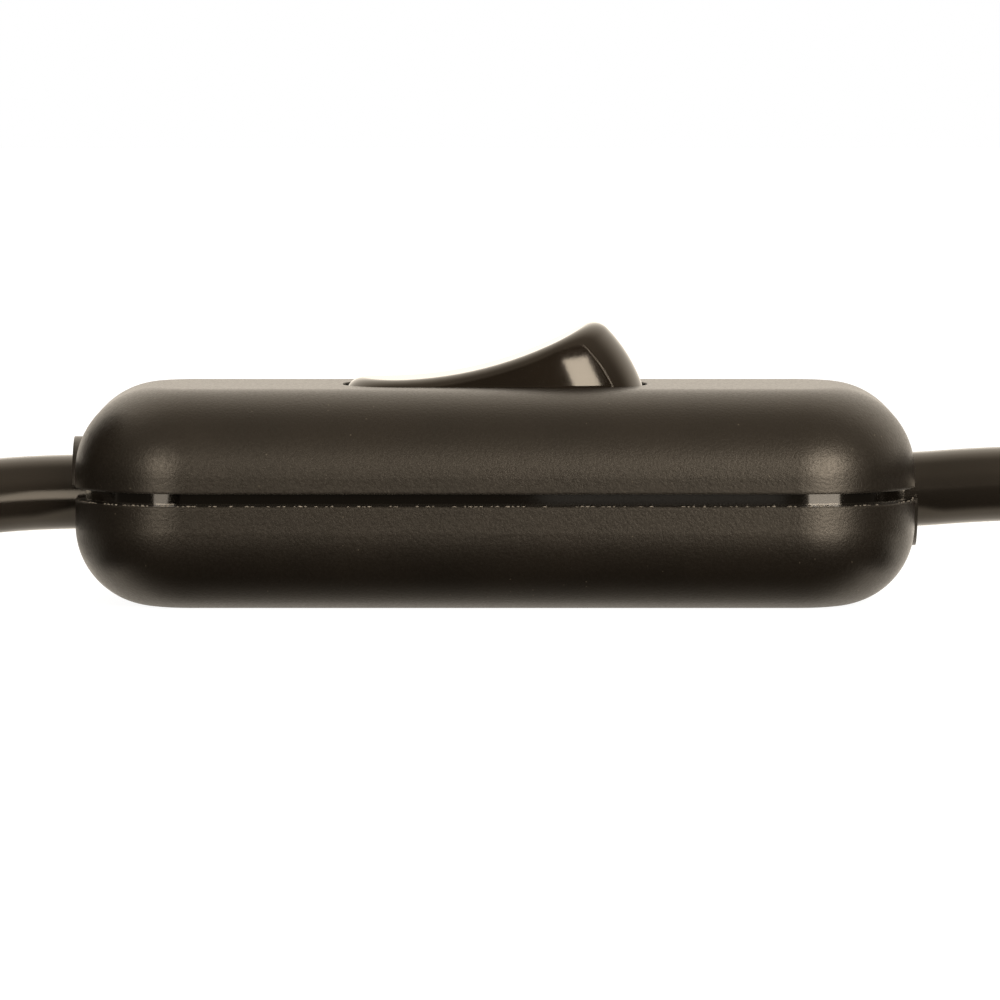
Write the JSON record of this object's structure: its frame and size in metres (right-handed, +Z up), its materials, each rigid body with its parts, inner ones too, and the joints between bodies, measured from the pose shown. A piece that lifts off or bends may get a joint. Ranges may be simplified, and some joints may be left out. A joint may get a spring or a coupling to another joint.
{
  "type": "inline cord switch",
  "caption": "Rocker switch in a rounded two-half housing on a round two-core cord, with a flat two-pin plug on one end and a bare end on the other.",
  "frame": {"origin": "middle of the housing's flat underside", "axes": "+X along the cord towards its bare end, +Y away from the side that the picture shows, +Z up through the rocker"},
  "size_m": [0.2992, 0.0492, 0.0417],
  "materials": {
    "shell_plastic": "fine spark texture, dark warm brown-black",
    "rocker_plastic": "polished moulded",
    "cord_sheath": "smooth extruded flexible PVC",
    "clamp_plastic": "plain moulded",
    "plunger_plastic": "plain moulded nylon",
    "screw_steel": "zinc plated",
    "spring_steel": "drawn wire",
    "brass": "stamped",
    "lever_bronze": "stamped",
    "contact_metal": "silver",
    "copper": "stranded, drawn here as a rod",
    "live_insulation": "brown",
    "neutral_insulation": "blue",
    "ferrule_tin": "tinned",
    "plug_plastic": "fine texture",
    "pin_brass": "nickel plated brass",
    "sleeve_plastic": "smooth",
    "tie_band": "woven hook and loop band"
  },
  "bodies": {
    "housing": {"upper_shell": "shell_plastic", "lower_shell": "shell_plastic", "housing_screws": "screw_steel", "clamp_screws": "screw_steel", "terminal_screws": "screw_steel", "cord_clamp_left": "clamp_plastic", "cord_clamp_right": "clamp_plastic", "supply_terminal": "brass", "load_terminal": "brass", "neutral_link": "brass", "fixed_contact": "contact_metal", "sheath_end_left": "cord_sheath", "sheath_end_right": "cord_sheath", "cord_supply": "cord_sheath", "cord_load": "cord_sheath", "hank_supply": "cord_sheath", "hank_load": "cord_sheath", "tie_supply": "tie_band", "tie_load": "tie_band", "plug_body": "plug_plastic", "plug_pin_live": "pin_brass", "plug_pin_neutral": "pin_brass", "pin_sleeve_live": "sleeve_plastic", "pin_sleeve_neutral": "sleeve_plastic", "tail_live": "live_insulation", "tail_neutral": "neutral_insulation", "ferrule_live": "ferrule_tin", "ferrule_neutral": "ferrule_tin", "core_left_live": "live_insulation", "core_left_neutral": "neutral_insulation", "wire_left_live": "copper", "wire_left_neutral": "copper", "core_right_live": "live_insulation", "core_right_neutral": "neutral_insulation", "wire_right_live": "copper", "wire_right_neutral": "copper"},
    "rocker": {"rocker": "rocker_plastic"},
    "plunger": {"plunger": "plunger_plastic", "plunger_spring": "spring_steel"},
    "contact_lever": {"contact_lever": "lever_bronze", "moving_contact": "contact_metal"}
  },
  "joints": [
    {"name": "rocker_tilt", "type": "hinge", "parent": "housing", "child": "rocker", "pos_m": [0, 0, 0.01325], "axis": [0, 1, 0], "range_deg": [0, 26.8]},
    {"name": "plunger_slide", "type": "slide", "parent": "rocker", "child": "plunger", "axis": [-0.2317, 0, 0.9728], "range_m": [0, 0.0008], "stiffness_N_per_m": 300, "springref_m": -0.0006, "deforming": ["plunger_spring"]},
    {"name": "contact_lever_tilt", "type": "hinge", "parent": "housing", "child": "contact_lever", "pos_m": [0, 0, 0.00705], "axis": [0, 1, 0], "range_deg": [-12.1, 0]}
  ],
  "couplings": [
    {"joint": "contact_lever_tilt", "follows": "rocker_tilt", "ratio": -0.44776}
  ]
}
